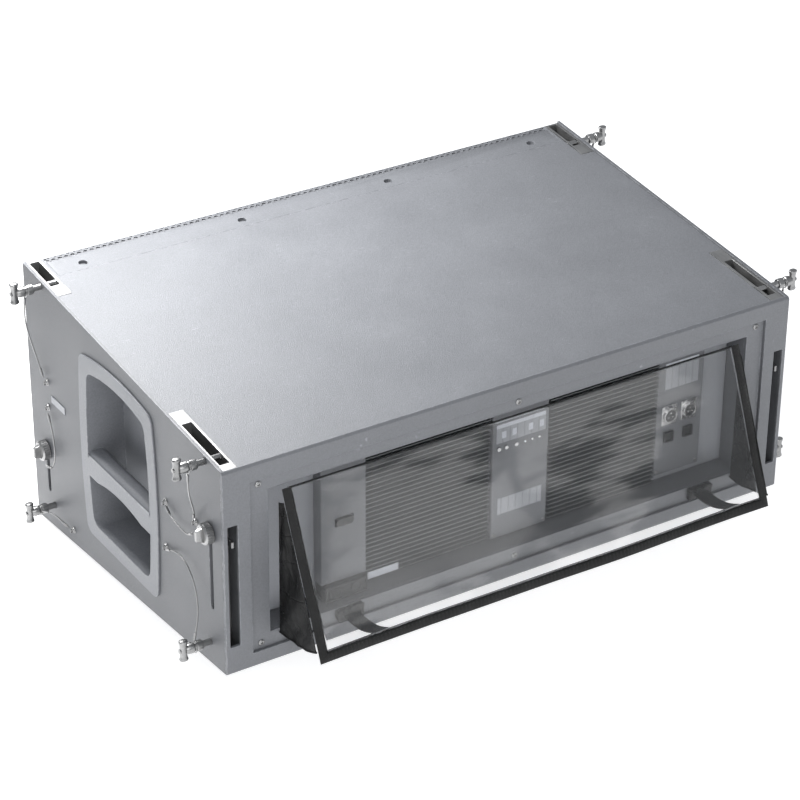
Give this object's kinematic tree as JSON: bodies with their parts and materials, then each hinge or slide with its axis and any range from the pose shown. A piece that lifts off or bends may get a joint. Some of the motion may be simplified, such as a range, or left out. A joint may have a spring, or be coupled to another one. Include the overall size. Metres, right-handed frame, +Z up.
{
  "type": "line array loudspeaker",
  "caption": "Self-powered line array loudspeaker cabinet, tapered top and bottom, with captive rigging links, lock pins on lanyards, recessed side handles and a clear hinged rain hood.",
  "frame": {"origin": "centre of the sloped bottom face", "axes": "+Z up in the flown attitude, -Y towards the audience (grille), +Y rear, +X the cabinet's right side seen from the front"},
  "size_m": [1.008, 0.6634, 0.4163],
  "materials": {
    "cabinet_paint": "textured paint on plywood",
    "plywood": "bare birch plywood",
    "steel_paint": "semi-matt painted steel",
    "frame_paint": "semi-matt painted steel",
    "handle_plastic": "moulded, fine grain",
    "zinc_steel": "zinc plated",
    "knob_metal": "turned, satin",
    "wire_rope": "twisted wire",
    "heat_sink_metal": "anodised",
    "panel_paint": "fine satin paint on aluminium",
    "connector_metal": "nickel",
    "switch_black": "gloss moulded",
    "foam": "open cell foam",
    "cone_paper": "coated pulp",
    "surround_rubber": "matt",
    "motor_iron": "painted",
    "horn_plastic": "moulded",
    "board_green": "solder mask",
    "clear_vinyl": "clear, glossy",
    "binding_fabric": "coated webbing"
  },
  "bodies": {
    "root": {"top_panel": "cabinet_paint", "bottom_panel": "cabinet_paint", "side_panels": "plywood", "front_baffle": "plywood", "chamber_walls": "plywood", "electronics_bay": "cabinet_paint", "rear_frame": "frame_paint", "hood_mount_frame": "frame_paint", "side_plates": "steel_paint", "slot_brackets": "zinc_steel", "handles": "handle_plastic", "grille": "steel_paint", "grille_foam": "foam", "woofer_motors": "motor_iron", "waveguide": "horn_plastic", "compression_driver": "motor_iron", "amp_chassis": "panel_paint", "heat_sinks": "heat_sink_metal", "control_plate": "panel_paint", "power_module": "panel_paint", "input_panel": "panel_paint", "connectors": "connector_metal", "amplifier_board": "board_green", "screws": "zinc_steel", "hood_gussets": "binding_fabric", "surround_right": "surround_rubber", "lanyard_rear_top_right": "wire_rope", "lanyard_rear_knob_right": "wire_rope", "lanyard_rear_bottom_right": "wire_rope", "lanyard_front_top_right": "wire_rope", "lanyard_front_knob_right": "wire_rope", "lanyard_front_bottom_right": "wire_rope", "surround_left": "surround_rubber", "lanyard_rear_top_left": "wire_rope", "lanyard_rear_knob_left": "wire_rope", "lanyard_rear_bottom_left": "wire_rope", "lanyard_front_top_left": "wire_rope", "lanyard_front_knob_left": "wire_rope", "lanyard_front_bottom_left": "wire_rope"},
    "power_switch": {"power_switch": "switch_black"},
    "hood": {"hood_panel": "clear_vinyl", "hood_binding": "binding_fabric"},
    "woofer_cone_right": {"woofer_cone_right": "cone_paper"},
    "link_front_right": {"link_front_right": "zinc_steel", "knob_front_right": "knob_metal"},
    "pin_front_top_right": {"pin_front_top_right": "zinc_steel"},
    "pin_front_bottom_right": {"pin_front_bottom_right": "zinc_steel"},
    "link_rear_right": {"link_rear_right": "zinc_steel", "knob_rear_right": "knob_metal"},
    "pin_rear_top_right": {"pin_rear_top_right": "zinc_steel"},
    "pin_rear_bottom_right": {"pin_rear_bottom_right": "zinc_steel"},
    "woofer_cone_left": {"woofer_cone_left": "cone_paper"},
    "link_front_left": {"link_front_left": "zinc_steel", "knob_front_left": "knob_metal"},
    "pin_front_top_left": {"pin_front_top_left": "zinc_steel"},
    "pin_front_bottom_left": {"pin_front_bottom_left": "zinc_steel"},
    "link_rear_left": {"link_rear_left": "zinc_steel", "knob_rear_left": "knob_metal"},
    "pin_rear_top_left": {"pin_rear_top_left": "zinc_steel"},
    "pin_rear_bottom_left": {"pin_rear_bottom_left": "zinc_steel"}
  },
  "joints": [
    {"name": "hood_hinge", "type": "hinge", "parent": "root", "child": "hood", "pos_m": [0, 0.2845, 0.28607], "axis": [1, 0, 0], "range_deg": [-20, 10], "deforming": ["hood_gussets"]},
    {"name": "power_switch_rock", "type": "hinge", "parent": "root", "child": "power_switch", "pos_m": [0.262, 0.2555, 0.19], "axis": [1, 0, 0], "range_deg": [-8, 8]},
    {"name": "woofer_stroke_right", "type": "slide", "parent": "root", "child": "woofer_cone_right", "axis": [0, -1, 0], "range_m": [-0.005, 0.005], "stiffness_N_per_m": 1500, "deforming": ["surround_right"]},
    {"name": "link_front_right_drop", "type": "slide", "parent": "root", "child": "link_front_right", "axis": [0, 0, -1], "range_m": [0, 0.066]},
    {"name": "pin_front_top_right_pull", "type": "slide", "parent": "root", "child": "pin_front_top_right", "axis": [1, 0, 0], "range_m": [0, 0.032]},
    {"name": "pin_front_bottom_right_pull", "type": "slide", "parent": "root", "child": "pin_front_bottom_right", "axis": [1, 0, 0], "range_m": [0, 0.032]},
    {"name": "link_rear_right_drop", "type": "slide", "parent": "root", "child": "link_rear_right", "axis": [0, 0, -1], "range_m": [0, 0.115]},
    {"name": "pin_rear_top_right_pull", "type": "slide", "parent": "root", "child": "pin_rear_top_right", "axis": [1, 0, 0], "range_m": [0, 0.032]},
    {"name": "pin_rear_bottom_right_pull", "type": "slide", "parent": "root", "child": "pin_rear_bottom_right", "axis": [1, 0, 0], "range_m": [0, 0.032]},
    {"name": "woofer_stroke_left", "type": "slide", "parent": "root", "child": "woofer_cone_left", "axis": [0, -1, 0], "range_m": [-0.005, 0.005], "stiffness_N_per_m": 1500, "deforming": ["surround_left"]},
    {"name": "link_front_left_drop", "type": "slide", "parent": "root", "child": "link_front_left", "axis": [0, 0, -1], "range_m": [0, 0.066]},
    {"name": "pin_front_top_left_pull", "type": "slide", "parent": "root", "child": "pin_front_top_left", "axis": [-1, 0, 0], "range_m": [0, 0.032]},
    {"name": "pin_front_bottom_left_pull", "type": "slide", "parent": "root", "child": "pin_front_bottom_left", "axis": [-1, 0, 0], "range_m": [0, 0.032]},
    {"name": "link_rear_left_drop", "type": "slide", "parent": "root", "child": "link_rear_left", "axis": [0, 0, -1], "range_m": [0, 0.115]},
    {"name": "pin_rear_top_left_pull", "type": "slide", "parent": "root", "child": "pin_rear_top_left", "axis": [-1, 0, 0], "range_m": [0, 0.032]},
    {"name": "pin_rear_bottom_left_pull", "type": "slide", "parent": "root", "child": "pin_rear_bottom_left", "axis": [-1, 0, 0], "range_m": [0, 0.032]}
  ]
}
